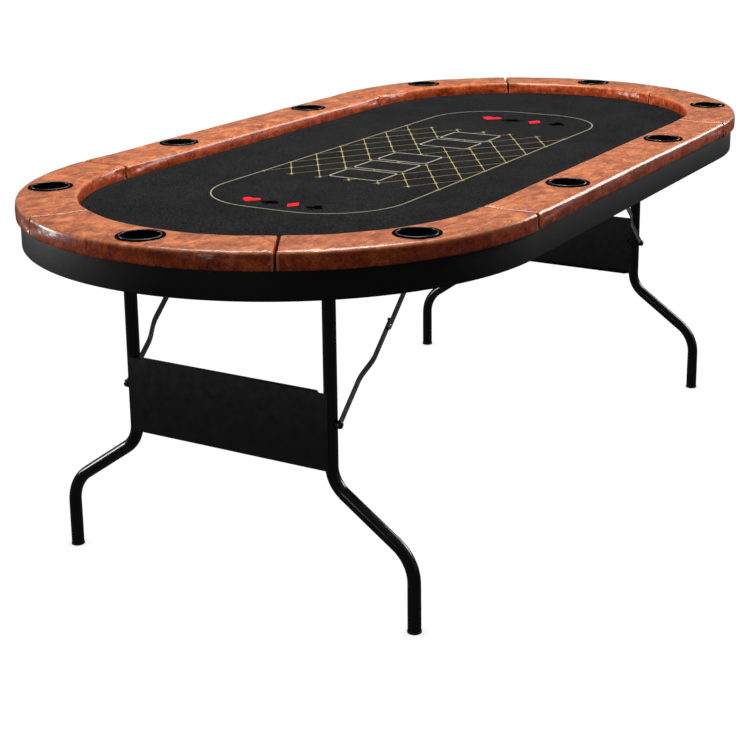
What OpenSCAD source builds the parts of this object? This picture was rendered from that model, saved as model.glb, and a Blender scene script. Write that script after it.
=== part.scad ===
// Oval poker table: padded racetrack rail, felt playing surface, cup holders,
// plywood apron and two folding steel leg frames with two-piece braces.
// Millimetres. +Z up, +X along the table. The origin is on the floor, under the centre.
// "left" is the -X end, "front" is the -Y side.

/* [Table top] */
// Overall length of the padded oval
table_length = 2134; // [2000:1:2300]
// Overall width of the padded oval
table_width = 1067; // [1000:1:1150]
// Height of the rail's top face above the floor
rail_top = 760; // [740:1:790]
// Width of the padded rail
rail_width = 120; // [110:1:130]
// Thickness of the padded rail, above the board
rail_thickness = 35; // [30:1:40]
// Rounding of the rail's top edges
rail_edge_radius = 8; // [4:0.5:12]
// Gap between neighbouring rail segments
rail_gap = 2.4; // [1.5:0.1:4]
// Thickness of the plywood bases inside the rail
rail_base_thickness = 6; // [4:0.5:9]
// Depth of the playing surface below the rail's top
felt_drop = 28; // [24:0.5:30]
// Thickness of the felt cloth
felt_thickness = 2; // [1:0.5:3]

/* [Board and apron] */
// Thickness of the table board
board_thickness = 12; // [10:1:14]
// Thickness of the apron band
apron_thickness = 10; // [8:0.5:11]
// How far the rail overhangs the apron
apron_inset = 9; // [6:0.5:14]
// Height of the apron that shows under the rail
apron_height = 54; // [50:1:60]

/* [Cup holders] */
// Distance from the rail's outer edge to a cup holder's centre
cup_offset = 58.5; // [56:0.5:62]
// Distance between the two cup holders of a long side
cup_spacing = 541; // [480:1:600]
// Inside radius of a cup holder
cup_inner_radius = 36.2; // [34:0.1:37]
// Radius of a cup holder's rim
cup_rim_radius = 44; // [42:0.5:46]
// Inside depth of a cup holder
cup_depth = 60; // [50:1:64]

/* [Leg frames] */
// Distance of each leg frame from the table's centre
leg_x = 768; // [760:1:780]
// Distance of each upright from the table's centre line
upright_y = 227; // [220:1:235]
// Distance of each foot from the table's centre line
foot_y = 400; // [395:1:415]
// Outside radius of the leg tube
tube_radius = 13; // [12:0.5:15]
// Wall of the leg tube
tube_wall = 1.5; // [1.2:0.1:2]
// Height at which each upright starts to bend outwards
bend_start = 296; // [285:1:305]
// Angle of the sloping stretch from the vertical
bend_angle = 55; // [45:1:60]
// Height of the modesty panel's lower edge
panel_bottom = 287; // [280:1:295]
// Height of the modesty panel
panel_height = 152; // [140:1:165]

/* [Braces] */
// Slope of the locked brace above the horizontal
brace_angle = 42.5; // [40:0.5:44]
// Distance from the frame hinge down to the brace bolt
brace_drop = 314; // [305:1:320]
// Width of a brace link
link_width = 14; // [12:0.5:15]
// Thickness of a brace link
link_thickness = 3; // [2:0.5:3]

/* [Hidden] */
$fn = 64;

leather = "#A6532B";
black_steel = "#17171A";
matt_black = "#1C1C1E";
plywood = "#C9A46B";
bright_steel = "#A9ABAE";

// Heights
board_top = rail_top - rail_thickness;
board_bottom = board_top - board_thickness;
apron_bottom = board_top - apron_height;
felt_top = rail_top - felt_drop;
hinge_drop = 21;
hinge_z = board_bottom - hinge_drop;

// Cup holders
cup_wall = 1.8;
cup_rim_height = 2;
cup_hole_radius = cup_inner_radius + cup_wall + 1;

// Plan of the oval: two half circles joined by straight sides.
// The board ends inside the ring of cup holders; the rail bridges from it to the apron.
outer_radius = table_width / 2;
inner_radius = outer_radius - rail_width;
end_x = table_length / 2 - outer_radius;
cup_circle = outer_radius - cup_offset;
apron_radius = outer_radius - apron_inset;
apron_inner = apron_radius - apron_thickness;
board_radius = cup_circle - cup_hole_radius - 0.5;
end_segments = 3;
segment_angle = 180 / end_segments;
gap_angle = asin(rail_gap / 2 / cup_circle);

// Rail bases inside the pads
base_inset = 4;
base_fit = 0.5;
base_gap_angle = asin((rail_gap / 2 + base_inset) / cup_circle);

// Leg frame
elbow_radius = 45;
upper_bend_radius = 65;
lower_bend_radius = 85;
cap_floor = 4;
cap_height = 24;
cap_radius = tube_radius + 0.8;
cap_plug_radius = tube_radius - tube_wall - 0.2;
slope_out = foot_y - upright_y - (upper_bend_radius + lower_bend_radius) * (1 - cos(bend_angle));
slope_length = slope_out / sin(bend_angle);
bend_drop = (upper_bend_radius + lower_bend_radius) * sin(bend_angle) + slope_length * cos(bend_angle);
bend_end = bend_start - bend_drop;
crossbar_half = upright_y - elbow_radius;
plug = 0.5;
swell = 0.05;
panel_thickness = 1.5;
panel_half = upright_y + 2;
strap_y = 140;
strap_width = 30;
strap_thickness = 2;
strap_flange = 22;
strap_clearance = 0.2;

// Braces
brace_run = brace_drop / tan(brace_angle);
brace_length = brace_drop / sin(brace_angle);
lower_length = (brace_length - (brace_run - brace_drop)) / 2;
upper_length = brace_length - lower_length;
bracket_x = leg_x - brace_run;
bolt_radius = 3.5;
pin_radius = 3;
pivot_clearance = 0.05;
washer_height = 3.7;
lower_lane = upright_y + tube_radius + washer_height + 0.3;
joggle = 12;
joggle_start = 100;
joggle_length = 46;
lane_gap = 0.4;
upper_lane = lower_lane + joggle + link_thickness + lane_gap;
bracket_lane = upper_lane + link_thickness + lane_gap;
bracket_thickness = 2.5;
bracket_flange = 26;
bracket_half = 18;
ear_radius = 12;
tail_length = 8;
tab_length = 5;
rivet_radius = 5;
screw_radius = 1.8;
screw_head_radius = 4;
screw_length = 9;

// ---------- plan outlines ----------

module oval(radius) {
    for (side = [-1, 1]) translate([side * end_x, 0]) circle(radius, $fn = 180);
    square([2 * end_x, 2 * radius], center = true);
}

// Sweeps a cross-section along one long side; face is -1 at the front, 1 at the back
module side_sweep(face, half_length)
    mirror([0, face < 0 ? 1 : 0, 0])
        translate([-half_length, 0, 0])
            rotate([90, 0, 90]) linear_extrude(2 * half_length) children();

// Sweeps a cross-section around an end; end is -1 at the left, 1 at the right
module end_sweep(end, start, sweep)
    translate([end * end_x, 0, 0])
        rotate([0, 0, start]) rotate_extrude(angle = sweep, $fn = 180) children();

// Start angle of an end segment: step -1 is at the front, 0 at the end, 1 at the back
function segment_start(end, step) =
    (end > 0 ? step * segment_angle : 180 - step * segment_angle) - segment_angle / 2;

function end_cup(end, step) =
    let (a = segment_start(end, step) + segment_angle / 2)
    [end * end_x + cup_circle * cos(a), cup_circle * sin(a)];

function side_cup(face, half) = [half * cup_spacing / 2, face * cup_circle];

side_cups = [for (face = [-1, 1], half = [-1, 1]) side_cup(face, half)];
end_cups = [for (end = [-1, 1], step = [-1, 0, 1]) end_cup(end, step)];

module cup_holes(places)
    for (place = places)
        translate([place[0], place[1], board_bottom - 1])
            cylinder(r = cup_hole_radius, h = rail_top - board_bottom + 2);

// ---------- padded rail ----------

module pad_section() {
    r = rail_edge_radius;
    translate([inner_radius, board_top]) difference() {
        union() {
            square([rail_width, rail_thickness - r]);
            translate([r, 0]) square([rail_width - 2 * r, rail_thickness]);
            for (x = [r, rail_width - r]) translate([x, rail_thickness - r]) circle(r, $fn = 32);
        }
        translate([base_inset, -1]) square([rail_width - 2 * base_inset, rail_base_thickness + 1]);
    }
}

module base_section()
    translate([inner_radius + base_inset + base_fit, board_top])
        square([rail_width - 2 * (base_inset + base_fit), rail_base_thickness - base_fit]);

module side_pad(face) color(leather) difference() {
    side_sweep(face, end_x - rail_gap / 2) pad_section();
    cup_holes([side_cup(face, -1), side_cup(face, 1)]);
}

module end_pad(end, step) color(leather) difference() {
    end_sweep(end, segment_start(end, step) + gap_angle, segment_angle - 2 * gap_angle) pad_section();
    cup_holes([end_cup(end, step)]);
}

module rail_pad_front() { side_pad(-1); }
module rail_pad_back() { side_pad(1); }
module rail_pad_left_front() { end_pad(-1, -1); }
module rail_pad_left_end() { end_pad(-1, 0); }
module rail_pad_left_back() { end_pad(-1, 1); }
module rail_pad_right_front() { end_pad(1, -1); }
module rail_pad_right_end() { end_pad(1, 0); }
module rail_pad_right_back() { end_pad(1, 1); }

module rail_base_boards() color(plywood) difference() {
    union() {
        for (face = [-1, 1]) side_sweep(face, end_x - rail_gap / 2 - base_inset) base_section();
        for (end = [-1, 1], step = [-1, 0, 1])
            end_sweep(end, segment_start(end, step) + base_gap_angle, segment_angle - 2 * base_gap_angle)
                base_section();
    }
    cup_holes(concat(side_cups, end_cups));
}

// ---------- playing surface, board and apron ----------

module felt_cloth() color(matt_black)
    translate([0, 0, felt_top - felt_thickness]) linear_extrude(felt_thickness) oval(inner_radius - 0.3);

module playing_foam() color("#54504A")
    translate([0, 0, board_top]) linear_extrude(felt_top - felt_thickness - board_top)
        oval(inner_radius - 0.3);

module table_board() color(plywood) difference() {
    translate([0, 0, board_bottom]) linear_extrude(board_thickness) oval(board_radius);
    screw_shanks();
}

module apron_section()
    translate([apron_inner, apron_bottom]) square([apron_thickness, apron_height]);

module apron_front() color(matt_black) side_sweep(-1, end_x) apron_section();
module apron_back() color(matt_black) side_sweep(1, end_x) apron_section();
module apron_left_end() color(matt_black) end_sweep(-1, 90, 180) apron_section();
module apron_right_end() color(matt_black) end_sweep(1, -90, 180) apron_section();

module batten(x, width, half_length, depth) color(plywood)
    translate([x - width / 2, -half_length, board_bottom - depth]) cube([width, 2 * half_length, depth]);

end_batten_x = 900;
end_batten_half = 335;
batten_depth = 28;
module batten_left() { batten(-end_batten_x, 40, end_batten_half, batten_depth); }
module batten_centre() { batten(0, 44, apron_inner - 1, batten_depth); }
module batten_right() { batten(end_batten_x, 40, end_batten_half, batten_depth); }

// ---------- cup holders ----------

module cup_holder(place) color("#0B0B0C")
    translate([place[0], place[1], rail_top]) rotate_extrude() {
        // Bowl wall and floor
        translate([cup_inner_radius, -cup_depth]) square([cup_wall, cup_depth + 0.6]);
        translate([0, -cup_depth - cup_wall]) square([cup_inner_radius + cup_wall, cup_wall]);
        // Rounded rim that rests on the pad
        intersection() {
            translate([cup_inner_radius, 0]) square([cup_rim_radius - cup_inner_radius, cup_rim_height]);
            translate([(cup_inner_radius + cup_rim_radius) / 2, cup_rim_height - 6]) circle(6);
        }
    }

module cup_holder_front_left() { cup_holder(side_cup(-1, -1)); }
module cup_holder_front_right() { cup_holder(side_cup(-1, 1)); }
module cup_holder_back_left() { cup_holder(side_cup(1, -1)); }
module cup_holder_back_right() { cup_holder(side_cup(1, 1)); }
module cup_holder_left_front() { cup_holder(end_cup(-1, -1)); }
module cup_holder_left_end() { cup_holder(end_cup(-1, 0)); }
module cup_holder_left_back() { cup_holder(end_cup(-1, 1)); }
module cup_holder_right_front() { cup_holder(end_cup(1, -1)); }
module cup_holder_right_end() { cup_holder(end_cup(1, 0)); }
module cup_holder_right_back() { cup_holder(end_cup(1, 1)); }

// ---------- hardware on the underside ----------

// Places a child made for the right end, back side, at another end and side
module at_end(end) mirror([end < 0 ? 1 : 0, 0, 0]) children();
module at_side(face) mirror([0, face < 0 ? 1 : 0, 0]) children();

strap_screw_x = tube_radius + strap_thickness + strap_flange / 2;
bracket_screw_x = bracket_half - 6;
bracket_screw_y = bracket_lane + bracket_flange / 2 + 3;

module screw_places()
    for (end = [-1, 1], face = [-1, 1]) at_end(end) at_side(face) {
        for (x = [-1, 1]) translate([leg_x + x * strap_screw_x, strap_y, board_bottom - strap_thickness])
            children();
        for (x = [-1, 1])
            translate([bracket_x + x * bracket_screw_x, bracket_screw_y, board_bottom - bracket_thickness])
                children();
    }

module screw_shanks() screw_places() cylinder(r = screw_radius, h = screw_length);

module underside_screws() color(bright_steel) screw_places() {
    cylinder(r = screw_radius, h = screw_length);
    translate([0, 0, -2.2]) cylinder(r1 = screw_head_radius - 1, r2 = screw_head_radius, h = 2.2);
}

// U-shaped strap that holds the crossbar and lets it turn
module hinge_strap() {
    bore = tube_radius + strap_clearance;
    shell = bore + strap_thickness;
    translate([0, -strap_width / 2, 0]) difference() {
        union() {
            rotate([-90, 0, 0]) cylinder(r = shell, h = strap_width);
            translate([-shell, 0, 0]) cube([2 * shell, strap_width, hinge_drop]);
            translate([-shell - strap_flange, 0, hinge_drop - strap_thickness])
                cube([2 * (shell + strap_flange), strap_width, strap_thickness]);
        }
        translate([0, -1, 0]) rotate([-90, 0, 0]) cylinder(r = bore, h = strap_width + 2);
        translate([-bore, -1, 0]) cube([2 * bore, strap_width + 2, hinge_drop + 1]);
    }
}

module hinge_straps(end) color(black_steel) difference() {
    for (face = [-1, 1]) at_end(end) translate([leg_x, face * strap_y, hinge_z]) hinge_strap();
    screw_shanks();
}

module hinge_straps_left() { hinge_straps(-1); }
module hinge_straps_right() { hinge_straps(1); }

// Angle bracket under the board that carries the upper end of a brace
module brace_brackets(end) color(black_steel) difference() {
    for (face = [-1, 1]) at_end(end) at_side(face) translate([bracket_x, bracket_lane, hinge_z]) {
        rotate([-90, 0, 0]) cylinder(r = ear_radius, h = bracket_thickness);
        translate([-ear_radius, 0, 0]) cube([2 * ear_radius, bracket_thickness, hinge_drop]);
        translate([-bracket_half, 0, hinge_drop - bracket_thickness])
            cube([2 * bracket_half, bracket_flange, bracket_thickness]);
    }
    for (face = [-1, 1]) at_end(end) at_side(face)
        translate([bracket_x, bracket_lane - 1, hinge_z])
            rotate([-90, 0, 0]) cylinder(r = pin_radius, h = bracket_thickness + 2);
    screw_shanks();
}

module brace_brackets_left() { brace_brackets(-1); }
module brace_brackets_right() { brace_brackets(1); }

module brace_pins(end) color(bright_steel)
    for (face = [-1, 1]) at_end(end) at_side(face)
        translate([bracket_x, upper_lane - 3, hinge_z]) rotate([-90, 0, 0]) {
            cylinder(r = 6, h = 2.7);
            cylinder(r = pin_radius, h = bracket_lane + bracket_thickness - upper_lane + 5);
            translate([0, 0, bracket_lane + bracket_thickness - upper_lane + 3]) cylinder(r = 6, h = 2);
        }

module brace_pins_left() { brace_pins(-1); }
module brace_pins_right() { brace_pins(1); }

// ---------- leg frames ----------

// Straight stretch of tube, its ends plugged into the neighbouring bends
module tube_run(radius, length)
    translate([0, -plug, 0]) rotate([-90, 0, 0]) cylinder(r = radius, h = length + 2 * plug);

// Bent stretch of tube, swollen slightly by the bending
module tube_bend(radius, bend_radius, angle)
    rotate_extrude(angle = angle) translate([bend_radius, 0]) circle(radius + swell);

// One upright, from the foot to the corner of the crossbar.
// Its centre line lies in a plane: x is outwards, y is up
module leg_path(radius, foot_end) rotate([90, 0, 90]) {
    translate([upright_y - elbow_radius, hinge_z - elbow_radius, 0]) tube_bend(radius, elbow_radius, 90);
    translate([upright_y, bend_start, 0]) tube_run(radius, hinge_z - elbow_radius - bend_start);
    translate([upright_y + upper_bend_radius, bend_start, 0])
        rotate([0, 0, 180]) tube_bend(radius, upper_bend_radius, bend_angle);
    translate([foot_y - lower_bend_radius, bend_end, 0]) {
        tube_bend(radius, lower_bend_radius, bend_angle);
        rotate([0, 0, bend_angle]) translate([lower_bend_radius, 0, 0]) tube_run(radius, slope_length);
    }
    translate([foot_y, foot_end + plug, 0]) tube_run(radius, bend_end - foot_end - plug);
}

module leg_tube() difference() {
    leg_path(tube_radius, cap_floor);
    leg_path(tube_radius - tube_wall, cap_floor - 1);
    translate([0, upright_y - 2 * tube_radius, hinge_z - brace_drop])
        rotate([-90, 0, 0]) cylinder(r = bolt_radius, h = 4 * tube_radius);
}

module leg(end, face) color(black_steel) at_end(end) at_side(face) translate([leg_x, 0, 0]) leg_tube();

module leg_left_front() { leg(-1, -1); }
module leg_left_back() { leg(-1, 1); }
module leg_right_front() { leg(1, -1); }
module leg_right_back() { leg(1, 1); }

module crossbar(end) color(black_steel)
    translate([end * leg_x, -crossbar_half, hinge_z]) rotate([-90, 0, 0])
        linear_extrude(2 * crossbar_half) difference() {
            circle(tube_radius);
            circle(tube_radius - tube_wall);
        }

module crossbar_left() { crossbar(-1); }
module crossbar_right() { crossbar(1); }

module modesty_panel(end) color(matt_black) at_end(end)
    translate([leg_x + tube_radius, -panel_half, panel_bottom])
        cube([panel_thickness, 2 * panel_half, panel_height]);

module modesty_panel_left() { modesty_panel(-1); }
module modesty_panel_right() { modesty_panel(1); }

// Moulded plug with a flat flange that the tube stands on
module foot_cap(end, face) color("#0E0E10") translate([end * leg_x, face * foot_y, 0]) {
    cylinder(r1 = cap_radius - 0.8, r2 = cap_radius, h = 0.8);
    translate([0, 0, 0.8]) cylinder(r = cap_radius, h = cap_floor - 0.8);
    translate([0, 0, 1]) cylinder(r = cap_plug_radius, h = cap_height - 1);
}

module foot_cap_left_front() { foot_cap(-1, -1); }
module foot_cap_left_back() { foot_cap(-1, 1); }
module foot_cap_right_front() { foot_cap(1, -1); }
module foot_cap_right_back() { foot_cap(1, 1); }

// Bolt, washer and nut that hold a brace's lower end to the upright
module brace_bolt() rotate([-90, 0, 0]) {
    head = lower_lane + link_thickness + 0.3;
    translate([0, 0, upright_y - tube_radius - 7]) cylinder(r = bolt_radius, h = head - upright_y + tube_radius + 8);
    translate([0, 0, upright_y - tube_radius - 5.5]) cylinder(r = 6.5, h = 5.5, $fn = 6);
    translate([0, 0, upright_y + tube_radius]) cylinder(r = 8, h = washer_height);
    translate([0, 0, head]) cylinder(r1 = 8, r2 = 7.2, h = 2.6);
    translate([0, 0, head + 2.6]) cylinder(r1 = 7.2, r2 = 4, h = 1.8);
}

module brace_bolts(end) color(black_steel)
    for (face = [-1, 1]) at_end(end) at_side(face) translate([leg_x, 0, hinge_z - brace_drop]) brace_bolt();

module brace_bolts_left() { brace_bolts(-1); }
module brace_bolts_right() { brace_bolts(1); }

// ---------- braces ----------
// A link is drawn along +X from its pivot, its thickness along +Y, its width along Z

module link_bar(start, length, lane)
    translate([start, lane, -link_width / 2]) cube([length, link_thickness, link_width]);

module link_end(at, lane)
    translate([at, lane, 0]) rotate([-90, 0, 0]) cylinder(r = link_width / 2, h = link_thickness);

module lower_link() {
    far_lane = lower_lane + joggle;
    far_start = joggle_start + joggle_length;
    difference() {
        union() {
            link_end(0, lower_lane);
            link_bar(0, joggle_start, lower_lane);
            translate([0, 0, -link_width / 2]) linear_extrude(link_width) polygon([
                [joggle_start, lower_lane], [far_start, far_lane],
                [far_start, far_lane + link_thickness], [joggle_start, lower_lane + link_thickness]
            ]);
            link_bar(far_start, lower_length + tail_length + tab_length - far_start, far_lane);
            // Rivet head on the inner face
            translate([lower_length, far_lane - 1.6, 0])
                rotate([-90, 0, 0]) cylinder(r1 = rivet_radius - 1, r2 = rivet_radius, h = 1.6);
            // Stop tab that bears on the upper link's top edge when the brace is straight
            translate([lower_length + tail_length, far_lane, link_width / 2])
                cube([tab_length, 2 * link_thickness + 2 * lane_gap, 2.5]);
            translate([lower_length + tail_length, far_lane, link_width / 2 - 1])
                cube([tab_length, link_thickness, 2]);
        }
        translate([0, lower_lane - 1, 0])
            rotate([-90, 0, 0]) cylinder(r = bolt_radius + pivot_clearance, h = link_thickness + 2);
    }
}

module upper_link() difference() {
    union() {
        link_end(0, upper_lane);
        link_bar(0, upper_length, upper_lane);
        link_end(upper_length, upper_lane);
        // Rivet head on the outer face
        translate([upper_length, upper_lane + link_thickness, 0])
            rotate([-90, 0, 0]) cylinder(r1 = rivet_radius, r2 = rivet_radius - 1, h = 1.6);
    }
    translate([0, upper_lane - 1, 0])
        rotate([-90, 0, 0]) cylinder(r = pin_radius + pivot_clearance, h = link_thickness + 2);
}

// The tab sits above the brace, so the lower link is drawn from the leg towards the centre
module lower_link_at(end, face) color(black_steel) at_end(end) at_side(face)
    translate([leg_x, 0, hinge_z - brace_drop])
        mirror([1, 0, 0]) rotate([0, -brace_angle, 0]) lower_link();

module upper_link_at(end, face) color(black_steel) at_end(end) at_side(face)
    translate([bracket_x, 0, hinge_z]) rotate([0, brace_angle, 0]) upper_link();

module upper_link_left_front() { upper_link_at(-1, -1); }
module upper_link_left_back() { upper_link_at(-1, 1); }
module upper_link_right_front() { upper_link_at(1, -1); }
module upper_link_right_back() { upper_link_at(1, 1); }
module lower_link_left_front() { lower_link_at(-1, -1); }
module lower_link_left_back() { lower_link_at(-1, 1); }
module lower_link_right_front() { lower_link_at(1, -1); }
module lower_link_right_back() { lower_link_at(1, 1); }

// ---------- nodes ----------

table_board();
playing_foam();
felt_cloth();
rail_base_boards();
rail_pad_front();
rail_pad_back();
rail_pad_left_front();
rail_pad_left_end();
rail_pad_left_back();
rail_pad_right_front();
rail_pad_right_end();
rail_pad_right_back();
apron_front();
apron_back();
apron_left_end();
apron_right_end();
batten_left();
batten_centre();
batten_right();
cup_holder_front_left();
cup_holder_front_right();
cup_holder_back_left();
cup_holder_back_right();
cup_holder_left_front();
cup_holder_left_end();
cup_holder_left_back();
cup_holder_right_front();
cup_holder_right_end();
cup_holder_right_back();
hinge_straps_left();
hinge_straps_right();
brace_brackets_left();
brace_brackets_right();
brace_pins_left();
brace_pins_right();
underside_screws();
crossbar_left();
crossbar_right();
leg_left_front();
leg_left_back();
leg_right_front();
leg_right_back();
modesty_panel_left();
modesty_panel_right();
foot_cap_left_front();
foot_cap_left_back();
foot_cap_right_front();
foot_cap_right_back();
brace_bolts_left();
brace_bolts_right();
upper_link_left_front();
upper_link_left_back();
upper_link_right_front();
upper_link_right_back();
lower_link_left_front();
lower_link_left_back();
lower_link_right_front();
lower_link_right_back();
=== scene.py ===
"""Oval folding poker table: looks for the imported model.

Every piece is in metres in the model's own frame: +X along the table, +Z up, origin on the floor.
"left" is the -X end and "front" is the -Y side.
"""
import math

import bmesh
import bpy
import numpy as np
from mathutils import Matrix, Vector, noise


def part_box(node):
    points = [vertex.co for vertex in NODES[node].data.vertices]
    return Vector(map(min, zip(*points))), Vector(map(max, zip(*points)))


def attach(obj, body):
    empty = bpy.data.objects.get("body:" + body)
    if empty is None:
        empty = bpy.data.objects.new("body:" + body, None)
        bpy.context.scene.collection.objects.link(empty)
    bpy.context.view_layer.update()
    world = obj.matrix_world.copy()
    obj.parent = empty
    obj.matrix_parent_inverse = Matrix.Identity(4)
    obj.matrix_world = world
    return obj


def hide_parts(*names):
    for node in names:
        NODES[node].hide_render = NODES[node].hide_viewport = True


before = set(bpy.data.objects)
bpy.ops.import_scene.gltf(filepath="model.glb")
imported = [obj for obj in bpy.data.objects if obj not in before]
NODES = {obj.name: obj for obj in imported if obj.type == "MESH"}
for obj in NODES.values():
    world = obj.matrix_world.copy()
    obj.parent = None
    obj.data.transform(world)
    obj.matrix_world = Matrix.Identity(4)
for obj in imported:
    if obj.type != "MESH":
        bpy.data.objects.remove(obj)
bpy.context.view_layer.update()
SCENE = bpy.context.scene
MM = 0.001

# ---------- sizes, read from the frame ----------

STRAIGHT_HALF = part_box("apron_front")[1].x
PAD_LOW, PAD_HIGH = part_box("rail_pad_front")
INNER_RADIUS, RAIL_WIDTH = -PAD_HIGH.y, PAD_HIGH.y - PAD_LOW.y
BOARD_TOP, RAIL_THICKNESS = PAD_LOW.z, PAD_HIGH.z - PAD_LOW.z
FELT_LOW, FELT_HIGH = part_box("felt_cloth")
APRON_LOW, APRON_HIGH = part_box("apron_back")
CUP_LOW, CUP_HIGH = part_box("cup_holder_back_left")
FELT_TOP, FELT_BOTTOM, FELT_RADIUS = FELT_HIGH.z, FELT_LOW.z, FELT_HIGH.y
CUP_TOP, CUP_BOTTOM, CUP_RADIUS = CUP_HIGH.z, CUP_LOW.z, (CUP_HIGH.x - CUP_LOW.x) / 2
END_STEP = math.radians(60)


def centre(node):
    low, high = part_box(node)
    return (low + high) / 2


CUP_CIRCLE = centre("cup_holder_back_left").y
ENDS = {"left": -1, "right": 1}
SIDES = {"front": -1, "back": 1}


# ---------- material building ----------

class Tree:
    """The node tree of a material or a world, with short ways to add to it."""

    def __init__(self, owner, empty=False):
        owner.use_nodes = True
        self.tree = owner.node_tree
        if empty:
            self.tree.nodes.clear()

    def link(self, source, target):
        self.tree.links.new(source, target)

    def put(self, value, socket):
        """Sets a socket to a number, a vector or a colour, or links a source to it."""
        if isinstance(value, (int, float)):
            socket.default_value = value
        elif isinstance(value, tuple):
            socket.default_value = (*value, 1.0)[:len(socket.default_value)]
        else:
            self.link(value, socket)

    def node(self, kind, inputs=None, **settings):
        made = self.tree.nodes.new("ShaderNode" + kind)
        for key, value in settings.items():
            setattr(made, key, value)
        for key, value in (inputs or {}).items():
            self.put(value, made.inputs[key])
        return made

    def span(self, value, low, high, start=0.0, end=1.0, curve="LINEAR"):
        """A value between start and end mapped to low and high."""
        inputs = {"Value": value, "From Min": start, "From Max": end, "To Min": low, "To Max": high}
        return self.node("MapRange", inputs, interpolation_type=curve).outputs["Result"]

    def stage_surface(self, kind, seen, unseen, output):
        """White shaders of one strength for what the camera sees, and of another for all other rays."""
        shaders = [self.node(kind, {"Color": (1.0, 1.0, 1.0), "Strength": s}) for s in (unseen, seen)]
        ray = self.node("LightPath").outputs["Is Camera Ray"]
        mix = self.node("MixShader", {0: ray, 1: shaders[0].outputs[kind], 2: shaders[1].outputs[kind]})
        self.node("Output" + output, {"Surface": mix.outputs["Shader"]})


class Finish(Tree):
    """A Principled material with a few procedural layers, all in the model's own coordinates."""

    def __init__(self, name, **sockets):
        self.material = bpy.data.materials.new(name)
        super().__init__(self.material)
        self.shader = self.tree.nodes["Principled BSDF"]
        self.place = self.node("TexCoord").outputs["Object"]
        for socket, value in sockets.items():
            self.put(value, self.shader.inputs[socket.replace("_", " ")])

    def stretched(self, *scale):
        """The coordinates scaled along each axis, for grain that runs one way."""
        return self.node("Mapping", {"Vector": self.place, "Scale": scale}).outputs["Vector"]

    def noise(self, scale, detail=3.0, roughness=0.5, distortion=0.0, along=None):
        inputs = {"Vector": along or self.place, "Scale": scale, "Detail": detail, "Roughness": roughness,
                  "Distortion": distortion}
        return self.node("TexNoise", inputs).outputs["Fac"]

    def cells(self, scale):
        return self.node("TexVoronoi", {"Vector": self.place, "Scale": scale}).outputs["Distance"]

    def ramp(self, value, stops):
        """A value turned to a colour (or grey, for a number) by stops of (position, colour)."""
        made = self.node("ValToRGB", {"Fac": value})
        elements = made.color_ramp.elements
        while len(elements) < len(stops):
            elements.new(0.5)
        for element, (position, colour) in zip(elements, stops):
            element.position = position
            element.color = (*(colour if isinstance(colour, tuple) else (colour,) * 3), 1.0)
        return made.outputs["Color"]

    def maths(self, operation, a, b):
        return self.node("Math", {0: a, 1: b}, operation=operation).outputs["Value"]

    def mix(self, factor, a, b, blend="MIX"):
        made = self.node("Mix", data_type="RGBA", blend_type=blend)
        for key, value in (("Factor", factor), ("A", a), ("B", b)):
            self.put(value, next(s for s in made.inputs if s.name == key and s.enabled))
        return next(s for s in made.outputs if s.enabled)

    def attribute(self, name):
        return self.node("Attribute", attribute_name=name).outputs["Fac"]

    def colour(self, source):
        self.link(source, self.shader.inputs["Base Color"])

    def roughness(self, source):
        self.link(source, self.shader.inputs["Roughness"])

    def bump(self, *layers, target="Normal"):
        """Each layer is (height, distance in metres, strength)."""
        normal = None
        for height, distance, strength in layers:
            inputs = {"Height": height, "Distance": distance, "Strength": strength}
            if normal:
                inputs["Normal"] = normal
            normal = self.node("Bump", inputs).outputs["Normal"]
        self.link(normal, self.shader.inputs[target])


def leather_finish():
    """Cognac pull-up leatherette: cloudy and streaked, paler where stretched and lit by painted
    highlights at the seam lips and upper edges, with painted shade darkening its sides and its seam ends.
    """
    f = Finish("cognac_leather", Specular_IOR_Level=0.20, Coat_Weight=0.36, Coat_Roughness=0.10)
    clouds = f.noise(21, detail=4, roughness=0.55, distortion=0.9)
    streaks = f.noise(62, detail=6, roughness=0.74, distortion=0.7, along=f.stretched(0.5, 1.4, 1.0))
    flecks = f.noise(260, detail=4, roughness=0.7)
    tone = f.maths("ADD", f.maths("MULTIPLY", clouds, 0.42), f.maths("MULTIPLY", streaks, 0.58))
    colour = f.ramp(tone, [
        (0.36, (0.150, 0.0270, 0.0075)),
        (0.44, (0.28, 0.0640, 0.0170)),
        (0.52, (0.41, 0.1080, 0.0310)),
        (0.60, (0.57, 0.1780, 0.0560)),
    ])
    fine = f.ramp(flecks, [(0.34, 0.60), (0.50, 1.0), (0.64, 1.22)])
    colour = f.mix(1.0, colour, fine, "MULTIPLY")
    # Painted shade: the sides (the flank mark) are darkened and reddened as if turned away from the
    # light.
    shaded_sides = f.mix(1.0, colour, (1.14, 0.66, 0.55), "MULTIPLY")
    colour = f.mix(f.attribute("flank"), colour, shaded_sides)
    # The first mark is a painted highlight mixed with the real paleness of stretched leather, on the seam
    # lips and upper edges; the second is painted shade, nearly black, at the seam ends.
    marks = (("lip", 0.62, (0.78, 0.32, 0.16)), ("groove", 0.92, (0.012, 0.003, 0.0015)))
    for mark, amount, shown in marks:
        colour = f.mix(f.maths("MULTIPLY", f.attribute(mark), amount), colour, shown)
    f.colour(colour)
    f.roughness(f.span(f.noise(60, detail=4), 0.26, 0.40, 0.3, 0.7))
    grain = f.cells(620)
    pores = f.noise(1500, detail=2)
    folds = f.noise(75, detail=4, roughness=0.6, distortion=0.8)
    f.bump((folds, 0.0010, 0.30), (grain, 0.00020, 0.35), (pores, 0.00010, 0.25))
    f.bump((f.noise(120, detail=4, roughness=0.62), 0.0010, 0.22), target="Coat Normal")
    return f.material


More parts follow.
